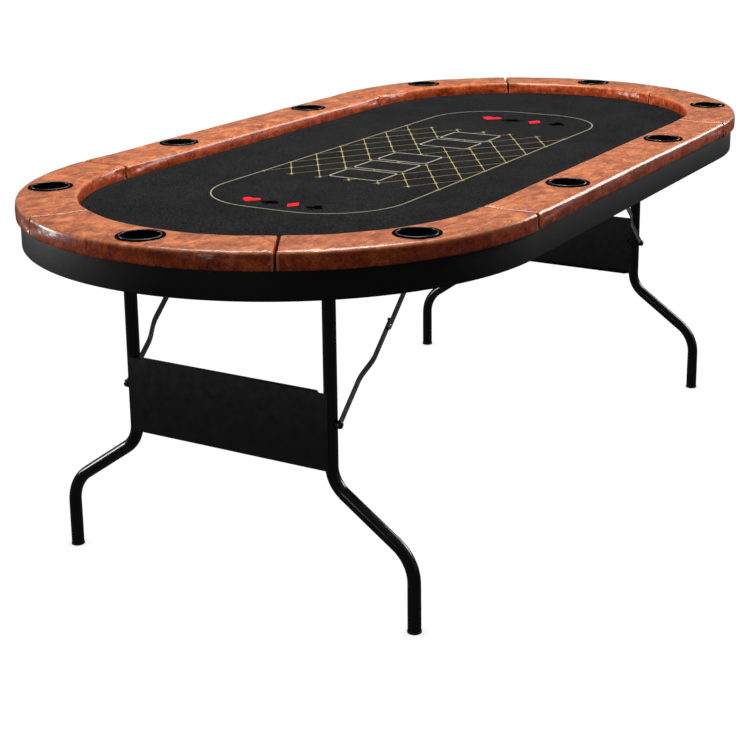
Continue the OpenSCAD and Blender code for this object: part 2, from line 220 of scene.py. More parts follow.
def felt_finish():
    f = Finish("black_felt", Roughness=0.95, Specular_IOR_Level=0.0)
    fibre = f.noise(520, detail=5, roughness=0.8)
    patches = f.noise(9, detail=3)
    speck = f.ramp(fibre, [(0.40, (0.0029, 0.0029, 0.0030)), (0.50, (0.0080, 0.0080, 0.0082)),
                           (0.62, (0.038, 0.038, 0.039))])
    f.colour(f.mix(1.0, speck, f.ramp(patches, [(0.3, 0.86), (0.7, 1.12)]), "MULTIPLY"))
    f.bump((fibre, 0.0005, 0.6), (f.noise(2600, detail=2), 0.0002, 0.4))
    return f.material


def ink_finish(name, colour, wear=0.75):
    """Screen-printed ink, which the felt's fibres break up a little."""
    f = Finish(name, Roughness=0.85, Specular_IOR_Level=0.0)
    gaps = f.noise(700, detail=3, roughness=0.7)
    dull = tuple(c * wear for c in colour)
    f.colour(f.ramp(gaps, [(0.36, dull), (0.5, colour)]))
    f.roughness(f.span(gaps, 0.7, 0.9))
    f.bump((gaps, 0.0002, 0.5))
    return f.material


def laminate_finish():
    """Matt black laminate of the apron, with a fine pebbled texture."""
    f = Finish("black_laminate", Specular_IOR_Level=0.22)
    pebble = f.cells(900)
    blotch = f.noise(14, detail=4)
    f.colour(f.ramp(blotch, [(0.3, (0.0070, 0.0070, 0.0072)), (0.7, (0.0110, 0.0110, 0.0113))]))
    f.roughness(f.span(f.noise(220, detail=3), 0.50, 0.66, 0.3, 0.7))
    f.bump((pebble, 0.00022, 0.4), (f.noise(1700, detail=2), 0.00010, 0.3))
    return f.material


def hard_finish(name, pattern, tones, rough, relief, gloss=None, **sockets):
    """A hard surface. A noise is (scale, detail, roughness), or None for the pattern's own noise.

    tones are the colour's two stops over the pattern, rough is the span of the roughness over the gloss
    noise, and relief is (noise, distance, strength) of the bump.
    """
    f = Finish(name, **sockets)
    tone = f.noise(*pattern)
    grain, distance, strength = relief
    f.colour(f.ramp(tone, tones))
    f.roughness(f.span(f.noise(*gloss) if gloss else tone, *rough))
    f.bump((f.noise(*grain) if grain else tone, distance, strength))
    return f.material


def plywood_finish():
    """Bare plywood: long figure along the board, and fine pores."""
    f = Finish("bare_plywood", Specular_IOR_Level=0.3)
    figure = f.noise(6, detail=5, roughness=0.6, distortion=1.4, along=f.stretched(0.8, 6.0, 1.0))
    pores = f.noise(240, detail=3, along=f.stretched(0.06, 1.0, 1.0))
    wood = f.ramp(figure, [(0.34, (0.36, 0.215, 0.105)), (0.50, (0.50, 0.335, 0.185)),
                           (0.64, (0.60, 0.43, 0.26))])
    wood = f.mix(1.0, wood, f.ramp(pores, [(0.36, 0.72), (0.5, 1.0)]), "MULTIPLY")
    f.colour(wood)
    f.roughness(f.span(pores, 0.55, 0.75))
    f.bump((figure, 0.0004, 0.2), (pores, 0.0003, 0.35))
    return f.material


def foam_finish():
    f = Finish("grey_foam", Roughness=0.95, Specular_IOR_Level=0.15)
    bubbles = f.cells(520)
    f.colour(f.ramp(bubbles, [(0.1, (0.03, 0.03, 0.028)), (0.6, (0.11, 0.105, 0.10))]))
    f.bump((bubbles, 0.0005, 0.8))
    return f.material


LEATHER = leather_finish()
FELT = felt_finish()
LAMINATE = laminate_finish()
PLYWOOD = plywood_finish()
FOAM = foam_finish()
# Polished plastic of the bowls, the satin face of their flanges, and a lighter edge around their mouths
# that is a painted highlight ring.
FINE_RELIEF = ((420, 2), 0.00005, 0.25)
GLOSS_PLASTIC = hard_finish(
    "gloss_black_plastic", (70, 4), [(0.35, (0.0016, 0.0016, 0.0018)), (0.7, (0.0042, 0.0042, 0.0046))],
    (0.09, 0.22, 0.3, 0.7), FINE_RELIEF, Specular_IOR_Level=0.55)
FLANGE_PLASTIC = hard_finish(
    "satin_black_plastic", (500, 3), [(0.35, (0.0016, 0.0016, 0.0018)), (0.7, (0.0036, 0.0036, 0.0040))],
    (0.30, 0.42, 0.3, 0.7), (None, 0.00005, 0.3), Specular_IOR_Level=0.0)
MOUTH_HIGHLIGHT_PLASTIC = hard_finish(
    "highlight_black_plastic", (90, 4), [(0.35, (0.018, 0.018, 0.019)), (0.7, (0.040, 0.040, 0.042))],
    (0.16, 0.26, 0.3, 0.7), FINE_RELIEF, Specular_IOR_Level=0.45)
FOOT_PLASTIC = hard_finish(
    "foot_plastic", (160, 5, 0.65), [(0.4, (0.0045, 0.0045, 0.005)), (0.72, (0.016, 0.016, 0.017))],
    (0.42, 0.65), (None, 0.0002, 0.35), Specular_IOR_Level=0.35)
# Dark pressed steel, thinly coated, keeps a dull metal shine; the rivets and screws are zinc plated.
BRACE_COAT = hard_finish(
    "dark_pressed_steel", (90, 4), [(0.35, (0.15, 0.15, 0.155)), (0.68, (0.26, 0.26, 0.27))],
    (0.28, 0.42, 0.3, 0.7), FINE_RELIEF, Metallic=0.75, Specular_IOR_Level=0.5)
ZINC = hard_finish(
    "zinc_steel", (300, 3), [(0.35, (0.42, 0.43, 0.45)), (0.65, (0.62, 0.63, 0.65))],
    (0.24, 0.42), (None, 0.00008, 0.3), Metallic=1.0)
# Black powder coat with a fine orange peel: glossy on the tubes, duller on the panels.
POWDER_RELIEF = ((300, 1, 0.4), 0.00003, 0.10)
TUBE_COAT = hard_finish(
    "black_tube_coat", (22, 3), [(0.3, 0.0021), (0.7, 0.0039)],
    (0.14, 0.24, 0.3, 0.7), POWDER_RELIEF, (55, 4), Specular_IOR_Level=0.5)
PANEL_COAT = hard_finish(
    "black_panel_coat", (22, 3), [(0.3, 0.00364), (0.7, 0.00676)],
    (0.34, 0.48, 0.3, 0.7), POWDER_RELIEF, (55, 4), Specular_IOR_Level=0.5)
TABLE_INK = ink_finish("ink_line", (0.27, 0.235, 0.16))
LATTICE_INK = ink_finish("ink_lattice", (0.42, 0.34, 0.13))
CARD_INK = ink_finish("ink_card", (0.30, 0.28, 0.23))
RED_INK = ink_finish("ink_red", (0.60, 0.020, 0.022))
BLACK_INK = ink_finish("ink_black", (0.0012, 0.0012, 0.0013))


# ---------- mesh building ----------

def add_object(name, data):
    """A new object in the scene."""
    made = bpy.data.objects.new(name, data)
    SCENE.collection.objects.link(made)
    return made


def plain_object(name, vertices, faces):
    """A new object with a mesh of these vertices and faces."""
    mesh = bpy.data.meshes.new(name)
    mesh.from_pydata([tuple(v) for v in vertices], [], faces)
    return add_object(name, mesh)


def make_piece(name, vertices, faces, material, body, slot, replaces=(), smooth=60):
    """A new piece from vertices and faces, riding on a body and standing for CAD nodes."""
    piece = plain_object(name, vertices, faces)
    mesh = piece.data
    built = bmesh.new()
    built.from_mesh(mesh)
    bmesh.ops.remove_doubles(built, verts=built.verts, dist=1e-7)
    bmesh.ops.recalc_face_normals(built, faces=built.faces)
    built.to_mesh(mesh)
    built.free()
    mesh.materials.append(material)
    shade(piece, smooth)
    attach(piece, body)
    if replaces:
        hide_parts(*replaces)
    return piece


def shade(piece, angle):
    """Smooth shading, with edges sharper than the angle kept crisp."""
    mesh = piece.data
    mesh.polygons.foreach_set("use_smooth", [True] * len(mesh.polygons))
    mesh.set_sharp_from_angle(angle=math.radians(angle))


def loft(rings, close_around=True, cap_ends=True, close_along=False):
    """Vertices and faces through rings of equally many points."""
    count = len(rings[0])
    vertices = [point for ring in rings for point in ring]
    faces = []
    spans = len(rings) if close_along else len(rings) - 1
    around = count if close_around else count - 1
    for i in range(spans):
        a, b = i * count, (i + 1) % len(rings) * count
        for j in range(around):
            k = (j + 1) % count
            faces.append((a + j, a + k, b + k, b + j))
    if cap_ends and not close_along:
        faces.append(tuple(range(count))[::-1])
        faces.append(tuple(range(len(vertices) - count, len(vertices))))
    return vertices, faces


def joined(*parts):
    """Several (vertices, faces) as one."""
    vertices, faces = [], []
    for part_vertices, part_faces in parts:
        offset = len(vertices)
        vertices += list(part_vertices)
        faces += [tuple(i + offset for i in face) for face in part_faces]
    return vertices, faces


def moved(part, place):
    """(vertices, faces) with each vertex passed through a function."""
    vertices, faces = part
    return [place(v) for v in vertices], faces


def circle(turns):
    """Angles evenly around a circle."""
    return [2 * math.pi * i / turns for i in range(turns)]


def lathe(profile, middle, turns):
    """A profile of (radius, height) from axis to axis, turned about a vertical axis through middle."""
    rings = []
    for angle in circle(turns):
        c, s = math.cos(angle), math.sin(angle)
        rings.append([(middle.x + r * c, middle.y + r * s, h) for r, h in profile])
    return loft(rings, close_around=False, cap_ends=False, close_along=True)


def arc(middle, radius, start, end, steps):
    """Points on an arc in a plane, angles in degrees."""
    angles = [math.radians(start + (end - start) * i / steps) for i in range(steps + 1)]
    return [(middle[0] + radius * math.cos(a), middle[1] + radius * math.sin(a)) for a in angles]


def rounded_box(low, high, radii, steps=5):
    """A rectangle's outline, anticlockwise, with a radius at each corner from the lowest left."""
    (x0, y0), (x1, y1) = low, high
    corners = [(x0, y0, 1, 1, 180), (x1, y0, -1, 1, 270), (x1, y1, -1, -1, 0), (x0, y1, 1, -1, 90)]
    points = []
    for (x, y, dx, dy, start), radius in zip(corners, radii):
        points += arc((x + dx * radius, y + dy * radius), radius, start, start + 90, steps)
    return points


def ease(value, low, high):
    """0 below low, 1 above high, smooth between, for numbers or arrays."""
    t = np.clip((value - low) / (high - low), 0.0, 1.0)
    return t * t * (3 - 2 * t)


def ripple(points, seed):
    """Smooth noise from -1 to 1 at each point of an array."""
    shift = Vector((seed * 7.31, seed * 3.17, seed * 5.53))
    return np.array([noise.noise(Vector(p) + shift) for p in points])


# ---------- padded rail ----------
# A pad's own coordinates are u along it, v across it from the inner edge, and z above the board.

PAD_EDGE = 7 * MM  # radius of the upper edges, reached between the two heights below
PAD_EDGE_FROM, PAD_EDGE_TO = 5 * MM, 14 * MM
PAD_TUCK = 1.5 * MM  # radius of the lower edges
END_SHARPNESS = 0.45  # how much tighter the edges are at the ends of a pad
SLIM = 0.9 * MM  # room left for the cover to swell
PAD_LIFT = 0.2 * MM
PAD_VOXEL = 5.5 * MM
PAD_PRESSURE = 4.0
PAD_TRAVEL = 1.5 * MM
CUP_LANE = CUP_CIRCLE - INNER_RADIUS
CUP_HOLE = 38.6 * MM
CUP_CLEAR = CUP_HOLE + 3 * MM  # inside this the hole's own shape is kept
CUP_PINNED = CUP_HOLE + 4 * MM  # inside this the cover doesn't swell
PLEAT, FOLD, SWELL, WANDER, TUG = 1.5 * MM, 1.4 * MM, 0.55 * MM, 0.35 * MM, 0.45 * MM


def pad_place(end, step):
    """A function from a pad's own coordinates to the model's: end 0 is a straight side."""
    if end == 0:
        return lambda u, v, z: (u, step * (INNER_RADIUS + v), BOARD_TOP + z)
    middle = step * END_STEP if end > 0 else math.pi - step * END_STEP

    def bent(u, v, z):
        angle = middle + u / CUP_CIRCLE
        radius = INNER_RADIUS + v
        return (end * STRAIGHT_HALF + radius * np.cos(angle), radius * np.sin(angle), BOARD_TOP + z)

    return bent


def pad_block(half_length, place):
    """The pad before it is shaped: a swept block."""
    section = rounded_box((SLIM, PAD_LIFT), (RAIL_WIDTH - SLIM, RAIL_THICKNESS - SLIM), [PAD_TUCK] * 4, 2)
    stations = np.linspace(-half_length, half_length, 41)
    return loft([[place(u, v, z) for v, z in section] for u in stations])


def shaped(own, half_length):
    """Own coordinates drawn onto the pad's true outline: a box with rounded edges."""
    radius = PAD_TUCK + (PAD_EDGE - PAD_TUCK) * ease(own[:, 2], PAD_EDGE_FROM, PAD_EDGE_TO)
    half = (half_length, RAIL_WIDTH / 2 - SLIM, (RAIL_THICKNESS - SLIM - PAD_LIFT) / 2)
    middle = (0.0, RAIL_WIDTH / 2, half[2] + PAD_LIFT)
    axes = list(zip(own.T, half, middle, (1 / END_SHARPNESS, 1.0, 1.0)))
    beyond = np.array([(np.abs(value - m) - (h - radius / k)) * k for value, h, m, k in axes])
    reach = np.maximum(np.linalg.norm(np.maximum(beyond, 0.0), axis=0), 1e-9)
    drawn = []
    for (value, h, m, k), past in zip(axes, beyond):
        rounded = m + np.sign(value - m) * (h - radius / k + np.maximum(past, 0) * radius / reach / k)
        drawn.append(np.where(past > 0, rounded, value))
    return np.stack(drawn, 1)


def divided(mesh, points):
    """A mesh's points and faces after one subdivision."""
    copy = mesh.copy()
    copy.vertices.foreach_set("co", points.ravel())
    blank = add_object("divide", copy)
    blank.modifiers.new("divide", "SUBSURF").levels = 1
    baked_modifiers(blank)
    finer = coordinates(blank.data)
    faces = [tuple(p.vertices) for p in blank.data.polygons]
    bpy.data.objects.remove(blank)
    return finer, faces


def baked_modifiers(piece):
    """Fixes a piece's modifiers into its mesh."""
    graph = bpy.context.evaluated_depsgraph_get()
    graph.update()
    mesh = bpy.data.meshes.new_from_object(piece.evaluated_get(graph))
    piece.modifiers.clear()
    piece.data = mesh


def coordinates(mesh):
    points = np.empty(len(mesh.vertices) * 3)
    mesh.vertices.foreach_get("co", points)
    return points.reshape(-1, 3)


def blow_up(piece, pinned):
    """Cloth simulation: how far each point of a cover swells, with the pinned points held."""
    rest = coordinates(piece.data)
    group = piece.vertex_groups.new(name="pinned")
    group.add([int(i) for i in np.flatnonzero(pinned)], 1.0, "REPLACE")
    cloth = piece.modifiers.new("cover", "CLOTH")
    fabric = {
        "quality": 5, "mass": 0.3, "tension_stiffness": 18, "compression_stiffness": 18,
        "shear_stiffness": 6, "bending_stiffness": 0.6, "use_pressure": True,
        "uniform_pressure_force": PAD_PRESSURE, "vertex_group_mass": group.name,
    }
    for key, value in fabric.items():
        setattr(cloth.settings, key, value)
    cloth.settings.effector_weights.gravity = 0
    cloth.collision_settings.use_collision = False
    for step in range(1, 21):
        SCENE.frame_set(step)
    graph = bpy.context.evaluated_depsgraph_get()
    swollen = coordinates(piece.evaluated_get(graph).data)
    piece.modifiers.clear()
    piece.vertex_groups.clear()
    SCENE.frame_set(1)
    shift = swollen - rest
    length = np.maximum(np.linalg.norm(shift, axis=1), 1e-9)
    return shift * (PAD_TRAVEL * np.tanh(length / PAD_TRAVEL) / length)[:, None]


def pad_shape(half_length, end, cups):
    """A blown-up pad, as an array of its own coordinates and its faces."""
    place = pad_place(end, 1 if end == 0 else 0)
    blank = plain_object("pad_block", *pad_block(half_length, place))
    drills = []
    for u in cups:
        x, y, _ = place(u, CUP_LANE, 0)
        rings = [[(x + CUP_HOLE * math.cos(a), y + CUP_HOLE * math.sin(a), BOARD_TOP + h)
                  for a in np.linspace(0, 2 * math.pi, 48, endpoint=False)] for h in (-0.02, 0.06)]
        drills.append(plain_object("drill", *loft(rings)))
        hole = blank.modifiers.new("cup", "BOOLEAN")
        hole.operation = "DIFFERENCE"
        hole.object = drills[-1]
    remesh = blank.modifiers.new("remesh", "REMESH")
    remesh.mode = "VOXEL"
    remesh.voxel_size = PAD_VOXEL
    baked_modifiers(blank)
    for drill in drills:
        bpy.data.objects.remove(drill)

    def to_own(points):
        if end == 0:
            return points - np.array([0.0, INNER_RADIUS, BOARD_TOP])
        x, y, z = points[:, 0] - end * STRAIGHT_HALF, points[:, 1], points[:, 2]
        return np.stack([np.arctan2(y, x) * CUP_CIRCLE, np.hypot(x, y) - INNER_RADIUS, z - BOARD_TOP], 1)

    def drawn_out(points):
        own = to_own(points)
        return np.where(near_cup(own, cups, CUP_CLEAR)[:, None], own, shaped(own, half_length))

    rest = np.stack(place(*drawn_out(coordinates(blank.data)).T), 1)
    blank.data.vertices.foreach_set("co", rest.ravel())
    own = to_own(rest)
    pinned = (own[:, 2] < PAD_EDGE_FROM) | near_cup(own, cups, CUP_PINNED)
    swell = blow_up(blank, pinned)
    fine_rest, faces = divided(blank.data, rest)
    fine_full, _ = divided(blank.data, rest + swell)
    bpy.data.objects.remove(blank)
    own = drawn_out(fine_rest)
    own += to_own(fine_full) - to_own(fine_rest)
    return own, faces


def near_cup(own, cups, radius):
    """Which points lie within a radius of a cup holder's axis."""
    near = np.zeros(len(own), bool)
    across = own[:, 1] - CUP_LANE
    widening = across / CUP_CIRCLE * (len(cups) == 1)  # the pads with one cup are the bent ones
    for u in cups:
        near |= np.hypot((own[:, 0] - u) * (1 + widening), across) < radius
    return near


def pad_creases(own, half_length, seed, gathers):
    """How far each point of a pad moves out, in metres: soft wrinkles in the cover."""
    u, v, z = own.T
    zero = np.zeros_like(u)

    def waves(shift, *place):
        return ripple(np.stack(place, 1), seed + shift)

    from_end = half_length - np.abs(u)
    outer = ease(v, RAIL_WIDTH - 14 * MM, RAIL_WIDTH - 4 * MM)
    inner = 1 - ease(v, 3 * MM, 12 * MM)
    wall = ease(z, 1 * MM, 7 * MM) * (1 - ease(z, RAIL_THICKNESS - 13 * MM, RAIL_THICKNESS - 1 * MM))
    top = ease(z, RAIL_THICKNESS - 8 * MM, RAIL_THICKNESS - 3 * MM)
    near_end = 1 - ease(from_end, 10 * MM, 100 * MM)
    corner = 1 - ease(from_end, 4 * MM, 30 * MM)
    # Pleats on the outer side are strongest at the end that gathers; folds on the inner side are
    # strongest at both ends, and on the bent pads, which are shorter than 0.3 m either way.
    gathered = np.where(u * gathers > 0, near_end, 0.15 * near_end)
    pleated = 0.12 + 1.1 * gathered + 0.3 * ease(waves(3, u * 9, zero, zero), 0.05, 0.5)
    folded = (0.6 if half_length < 0.3 else 0.24) + 0.8 * near_end
    out = outer * wall * pleated * waves(0, u * 62, z * 9, zero) * PLEAT
    out += inner * wall * folded * waves(5, u * 34, z * 30, zero) * FOLD
    out += top * waves(7, u * 13, v * 22, zero) * SWELL
    out += (1 - top) * waves(9, u * 26, v * 30, z * 30) * WANDER
    out += corner * waves(11, u * 120, v * 75, z * 75) * TUG
    return out


def build_pad(node, end, step, shape, half_length, seed, gathers):
    """One pad from its blown-up shape: placed, creased, and marked for the leather's seams and sides."""
    own, faces = shape
    u, v, z = own.T
    own = np.stack([u * (-1 if seed % 2 else 1), v, z], 1)
    part = np.stack(pad_place(end, step)(*own.T), 1), faces
    piece = make_piece("cover_" + node, *part, LEATHER, "table_top", "rail_leather", [node], 180)
    mesh = piece.data
    normals = np.empty(len(mesh.vertices) * 3)
    mesh.vertices.foreach_get("normal", normals)
    out = pad_creases(own, half_length, seed, gathers)
    mesh.vertices.foreach_set("co", (coordinates(mesh) + normals.reshape(-1, 3) * out[:, None]).ravel())
    to_end = half_length - np.abs(u)
    # flank marks the sides: the leather paints shade on them, narrows the dark seam there and strengthens
    # the lip's paleness and highlight.
    flank = 1 - ease(z, RAIL_THICKNESS - 9 * MM, RAIL_THICKNESS - 3 * MM)
    # Painted shade: the groove mark blackens the pad ends where the seam gap falls in shade, wider on the
    # top.
    groove = 1 - ease(to_end, 0.3 * MM, 1.2 * MM + 1.3 * MM * (1 - flank))
    # Paleness of the stretched cover at the seam lips, partly a painted highlight, stronger on the sides.
    lip = (1 - ease(to_end, 2.5 * MM, 6 * MM)) * ease(to_end, 1.0 * MM, 1.9 * MM) * (0.1 + 0.9 * flank)
    # Paleness along the upper edges, partly a painted highlight along them.
    edge_paleness_and_highlight = np.maximum(ease(v, RAIL_WIDTH - 9 * MM, RAIL_WIDTH - 3 * MM), 1 - ease(v, 3 * MM, 8 * MM))
    edge_paleness_and_highlight = edge_paleness_and_highlight * ease(z, RAIL_THICKNESS - 8 * MM, RAIL_THICKNESS - 4 * MM)
    for name, values in (("lip", np.maximum(lip, 0.35 * edge_paleness_and_highlight)), ("groove", groove), ("flank", flank)):
        mark = mesh.attributes.new(name, "FLOAT", "POINT")
        mark.data.foreach_set("value", values.astype(np.float32))
    mesh.update()


def build_rail():
    gap = STRAIGHT_HALF - PAD_HIGH.x
    straight_half = STRAIGHT_HALF - gap
    bent_half = CUP_CIRCLE * END_STEP / 2 - gap
    cup = centre("cup_holder_back_right").x
    straight = pad_shape(straight_half, 0, [-cup, cup])
    bent = pad_shape(bent_half, 1, [0.0])
    seed = 0
    for side, face in SIDES.items():
        build_pad(f"rail_pad_{side}", 0, face, straight, straight_half, seed, 1)
        seed += 1
    for end, sign in ENDS.items():
        for step, name in ((-1, "front"), (0, "end"), (1, "back")):
            gathers = -1 if step < 0 else 1
            build_pad(f"rail_pad_{end}_{name}", sign, step, bent, bent_half, seed, gathers)
            seed += 1


# ---------- felt and its print ----------

def oval_ring(radius, straight_steps=80, end_steps=96):
    """Points around an oval of the given end radius, always in the same order."""
    points = []
    for sign in (1, -1):
        for i in range(end_steps):
            angle = math.pi * i / end_steps - math.pi / 2
            x = STRAIGHT_HALF + radius * math.cos(angle)
            points.append((sign * x, sign * radius * math.sin(angle)))
        for i in range(straight_steps):
            points.append((sign * STRAIGHT_HALF * (1 - 2 * i / straight_steps), sign * radius))
    return points


EDGE_ROLL, EDGE_DROP = 3 * MM, 1.1 * MM  # the rolled edge of the cloth
EDGE_SAG, EDGE_REACH = 0.30 * MM, 40 * MM  # and the slight sag near it


def build_felt():
    """The cloth: one flat sheet pulled over the foam, its edge rolled down under the rail."""
    radii = [FELT_RADIUS, FELT_RADIUS - 0.7 * MM, FELT_RADIUS - EDGE_ROLL]
    radii += list(np.linspace(FELT_RADIUS - 3 * EDGE_ROLL, 10 * MM, 34))
    rings = []
    for radius in radii:
        from_edge = FELT_RADIUS - radius
        sag = EDGE_SAG * float(1 - ease(from_edge, 0.0, EDGE_REACH))
        height = FELT_TOP - EDGE_DROP * float(1 - ease(from_edge, 0.0, EDGE_ROLL)) - sag
        rings.append([(x, y, height + sag * noise.noise(Vector((x * 14, y * 14, 4.2))))
                      for x, y in oval_ring(radius)])
    lower = [[(x, y, FELT_BOTTOM) for x, y, _ in ring] for ring in reversed(rings)]
    part = loft(rings[::-1] + lower[::-1])
    piece = make_piece("felt_sheet", *part, FELT, "table_top", "felt", ["felt_cloth"], 50)


INK_LIFT = 0.22 * MM
INK_DEPTH = 0.18 * MM
PRINT_X = -18 * MM
PRINT_Y = -9 * MM
TRACK_HALF_LENGTH = 620 * MM
TRACK_HALF_WIDTH = 212 * MM
TRACK_CORNER = 165 * MM
TRACK_LINE = 2.6 * MM
LATTICE_STEP_X = 105 * MM
LATTICE_STEP_Y = TRACK_HALF_WIDTH / 3
LATTICE_COLUMNS = 6
LATTICE_LINE = 1.25 * MM
LATTICE_FAINT = 0.62  # width of the lines that lean the other way, as a share
LATTICE_KNOT = (5.0 * MM, 3.4 * MM)
LATTICE_TAIL = 10 * MM
CARD_SIZE = (86 * MM, 122 * MM)
CARD_CORNER = 12 * MM
CARD_LINE = 3.6 * MM
CARD_STEP = 102.5 * MM
FLOP_X = -153 * MM
TURN_X = 194.5 * MM


def flat_solid(outline, inner=()):
    """A thin slab of ink with the given plan outline, or the band between two outlines."""
    low, high = FELT_TOP + INK_LIFT - INK_DEPTH, FELT_TOP + INK_LIFT
    if not inner:
        return loft([[(x, y, z) for x, y in outline] for z in (low, high)])
    edges = ((outline, low), (outline, high), (inner, high), (inner, low))
    rings = [[(x, y, z) for x, y in line] for line, z in edges]
    return loft(rings, cap_ends=False, close_along=True)


def band(width, outline_at):
    """The band of ink, of the given width, along an outline that outline_at(offset) gives."""
    return flat_solid(outline_at(width / 2), outline_at(-width / 2))


def box_outline(middle, half, corner, steps=12):
    def outline(offset):
        low = (middle[0] - half[0] - offset, middle[1] - half[1] - offset)
        high = (middle[0] + half[0] + offset, middle[1] + half[1] + offset)
        return rounded_box(low, high, [corner + offset] * 4, steps)
    return outline


def stroke(start, end, width):
    """A straight line of ink."""
    along = Vector(end) - Vector(start)
    across = Vector((-along.y, along.x)).normalized() * (width / 2)
    a, b = Vector(start), Vector(end)
    return flat_solid([tuple(a - across), tuple(b - across), tuple(b + across), tuple(a + across)])


def clip(start, end, middle, half):
    """The stretch (from, to) of a line inside a box, as fractions, or None."""
    first, last = 0.0, 1.0
    for s, e, m, h in zip(start, end, middle, half):
        a, b = sorted(((m - h - s) / (e - s), (m + h - s) / (e - s)))
        first, last = max(first, a), min(last, b)
    return (first, last) if first < last else None


def card_middles():
    flop = [(FLOP_X + i * CARD_STEP, 0) for i in (-1, 0, 1)]
    turn = [(TURN_X + i * CARD_STEP / 2, 0) for i in (-1, 1)]
    return [(PRINT_X + x, PRINT_Y + y) for x, y in flop + turn]


def inside_card(x, y, margin):
    half_x, half_y = CARD_SIZE[0] / 2 + margin, CARD_SIZE[1] / 2 + margin
    return any(abs(x - cx) < half_x and abs(y - cy) < half_y for cx, cy in card_middles())


def lattice_parts():
    """The diamond lattice, left out inside the cards, with a small knot at each crossing."""
    half = (LATTICE_COLUMNS * LATTICE_STEP_X / 2 + LATTICE_TAIL, TRACK_HALF_WIDTH)
    slope = LATTICE_STEP_Y / LATTICE_STEP_X
    reach = LATTICE_COLUMNS * LATTICE_STEP_X * 1.5
    half_card = [s / 2 for s in CARD_SIZE]
    parts = []
    for lean in (-1, 1):
        width = LATTICE_LINE * (1.0 if lean > 0 else LATTICE_FAINT)
        for i in range(-LATTICE_COLUMNS, LATTICE_COLUMNS + 1):
            x = PRINT_X + i * LATTICE_STEP_X
            start = (x - reach, PRINT_Y - lean * reach * slope)
            end = (x + reach, PRINT_Y + lean * reach * slope)
            whole = clip(start, end, (PRINT_X, PRINT_Y), half)
            if not whole:
                continue
            holes = [clip(start, end, middle, half_card) for middle in card_middles()]
            marks = [whole[0]]
            for hole in sorted(h for h in holes if h):
                marks += list(hole)
            marks.append(whole[1])
            for a, b in zip(marks[::2], marks[1::2]):
                if b - a > 1e-4:
                    ends = [tuple(s + (e - s) * t for s, e in zip(start, end)) for t in (a, b)]
                    parts.append(stroke(*ends, width))
    for row in range(-6, 7):
        for column in range(-LATTICE_COLUMNS, LATTICE_COLUMNS + 1):
            x, y = PRINT_X + column * LATTICE_STEP_X / 2, PRINT_Y + row * LATTICE_STEP_Y / 2
            if (row + column) % 2 == 0 and not inside_card(x, y, 3 * MM):
                knot = [(x + LATTICE_KNOT[0] * math.cos(a), y + LATTICE_KNOT[1] * math.sin(a))
                        for a in circle(12)]
                parts.append(flat_solid(knot))
    return parts


def suit_parts(kind, middle, size):
    """A suit as one or more slabs of ink, its top towards +x."""
    def scaled(points):
        return [(middle[0] + size * x, middle[1] + size * y) for x, y in points]

    turn = circle(28)
    if kind == "diamond":
        return [flat_solid(scaled([(0.5, 0), (0.12, 0.24), (0, 0.31), (-0.12, 0.24), (-0.5, 0),
                                   (-0.12, -0.24), (0, -0.31), (0.12, -0.24)]))]
    foot = flat_solid(scaled([(0.0, 0.03), (-0.30, 0.05), (-0.48, 0.17), (-0.48, -0.17), (-0.30, -0.05),
                              (0.0, -0.03)]))
    heart = []
    for t in turn:
        up = 13 * math.cos(t) - 5 * math.cos(2 * t) - 2 * math.cos(3 * t) - math.cos(4 * t)
        heart.append((up / 34 + 0.08, 16 * math.sin(t) ** 3 / 34))
    if kind == "heart":
        return [flat_solid(scaled(heart))]
    if kind == "spade":
        return [flat_solid(scaled([(-0.85 * x + 0.06, y) for x, y in heart])), foot]
    parts = [foot]
    for x, y in ((0.22, 0.0), (-0.10, 0.22), (-0.10, -0.22)):
        leaf = [(x + 0.21 * math.cos(t), y + 0.21 * math.sin(t)) for t in turn]
        parts.append(flat_solid(scaled(leaf)))
    return parts


SUITS = ["heart", "spade", "diamond", "club"]
SUIT_ROWS = [  # x, y of the middle, spacing, size
    (-584 * MM, -9 * MM, 51 * MM, 42 * MM),
    (484 * MM, -29 * MM, 61 * MM, 54 * MM),
]


def build_print():
    def ink(name, parts, material):
        return make_piece(name, *joined(*parts), material, "table_top", "felt", smooth=30)

    track = box_outline((PRINT_X, PRINT_Y), (TRACK_HALF_LENGTH, TRACK_HALF_WIDTH), TRACK_CORNER, 28)
    ink("print_track_line", [band(TRACK_LINE, track)], TABLE_INK)
    ink("print_lattice", lattice_parts(), LATTICE_INK)
    cards = [box_outline(middle, [s / 2 for s in CARD_SIZE], CARD_CORNER) for middle in card_middles()]
    ink("print_cards", [band(CARD_LINE, card) for card in cards], CARD_INK)
    red, black = [], []
    for x, y, step, size in SUIT_ROWS:
        for i, kind in enumerate(SUITS):
            parts = suit_parts(kind, (x, y + step * (1.5 - i)), size)
            (red if kind in ("heart", "diamond") else black).extend(parts)
    ink("print_suits_red", red, RED_INK)
    ink("print_suits_black", black, BLACK_INK)


# ---------- cup holders ----------

BEAD_MIDDLE, BEAD_RADIUS = 36.4 * MM, 1.2 * MM  # the bead around the mouth
MOUTH_FROM, FLANGE_FROM = 35 * MM, 37.6 * MM  # radii where the mouth's painted highlight ring and the flange start
